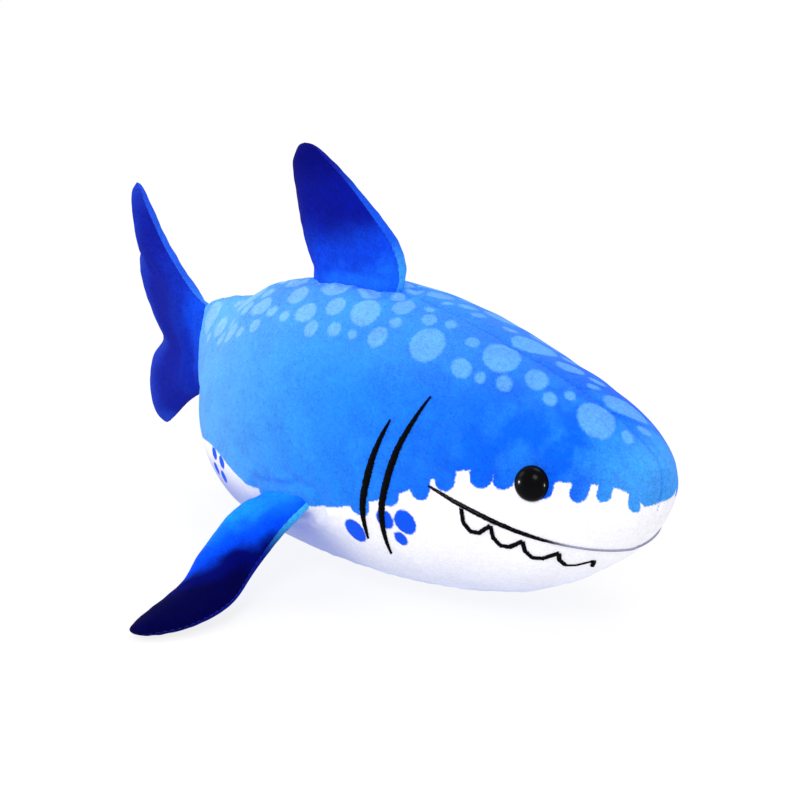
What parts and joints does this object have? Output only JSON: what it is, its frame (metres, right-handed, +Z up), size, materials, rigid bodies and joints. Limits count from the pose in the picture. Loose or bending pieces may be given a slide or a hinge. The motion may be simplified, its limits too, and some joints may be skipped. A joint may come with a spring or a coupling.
{
  "type": "plush shark",
  "caption": "Stuffed toy shark lying on its belly: spotted blue back, white belly, embroidered mouth, teeth and gill slits, domed eyes, and soft dorsal, pectoral and tail fins.",
  "frame": {"origin": "on the surface that the toy lies on, under the middle of its box", "axes": "+X towards the nose, +Y to the toy's left side, +Z up"},
  "size_m": [0.3445, 0.3016, 0.1875],
  "materials": {
    "printed_plush": "short-pile plush, printed in blues with pale spots over white",
    "white_plush": "short-pile plush",
    "fin_plush": "short-pile plush, printed with a gradient from blue to navy",
    "stuffing": "polyester fibre fill",
    "seam_thread": "matte polyester thread",
    "black_thread": "satin-stitched embroidery thread",
    "eye_plastic": "polished",
    "washer_plastic": "moulded"
  },
  "bodies": {
    "body": {"right_side_panel": "printed_plush", "left_side_panel": "printed_plush", "belly_panel": "white_plush", "body_stuffing": "stuffing", "back_seam_thread": "seam_thread", "belly_seam_thread": "seam_thread", "closing_stitches": "seam_thread", "right_eye": "eye_plastic", "left_eye": "eye_plastic", "right_eye_washer": "washer_plastic", "left_eye_washer": "washer_plastic", "mouth_line_stitching": "black_thread", "right_teeth_stitching": "black_thread", "left_teeth_stitching": "black_thread", "right_gill_stitching": "black_thread", "left_gill_stitching": "black_thread"},
    "dorsal_fin": {"dorsal_fin_right_panel": "fin_plush", "dorsal_fin_left_panel": "fin_plush", "dorsal_fin_stuffing": "stuffing", "dorsal_fin_edge_seam_thread": "seam_thread"},
    "tail_fin": {"tail_fin_right_panel": "fin_plush", "tail_fin_left_panel": "fin_plush", "tail_fin_stuffing": "stuffing", "tail_fin_edge_seam_thread": "seam_thread"},
    "right_pectoral_fin": {"right_pectoral_fin_upper_panel": "fin_plush", "right_pectoral_fin_lower_panel": "fin_plush", "right_pectoral_fin_stuffing": "stuffing", "right_pectoral_fin_edge_seam_thread": "seam_thread"},
    "left_pectoral_fin": {"left_pectoral_fin_upper_panel": "fin_plush", "left_pectoral_fin_lower_panel": "fin_plush", "left_pectoral_fin_stuffing": "stuffing", "left_pectoral_fin_edge_seam_thread": "seam_thread"}
  },
  "joints": [
    {"name": "dorsal_fin_lean", "type": "hinge", "parent": "body", "child": "dorsal_fin", "pos_m": [-0.0135, 0, 0.1316], "axis": [0.995, 0, 0.0995], "range_deg": [-30, 30], "stiffness_Nm_per_rad": 0.1},
    {"name": "tail_fin_swing", "type": "hinge", "parent": "body", "child": "tail_fin", "pos_m": [-0.1229, 0, 0.07], "axis": [0, 0, 1], "range_deg": [-30, 30], "stiffness_Nm_per_rad": 0.1},
    {"name": "right_pectoral_fin_flap", "type": "hinge", "parent": "body", "child": "right_pectoral_fin", "pos_m": [0.004, -0.0636, 0.0435], "axis": [-1, 0, 0], "range_deg": [0, 45], "stiffness_Nm_per_rad": 0.1},
    {"name": "left_pectoral_fin_flap", "type": "hinge", "parent": "body", "child": "left_pectoral_fin", "pos_m": [0.004, 0.0636, 0.0435], "axis": [1, 0, 0], "range_deg": [0, 45], "stiffness_Nm_per_rad": 0.1}
  ]
}
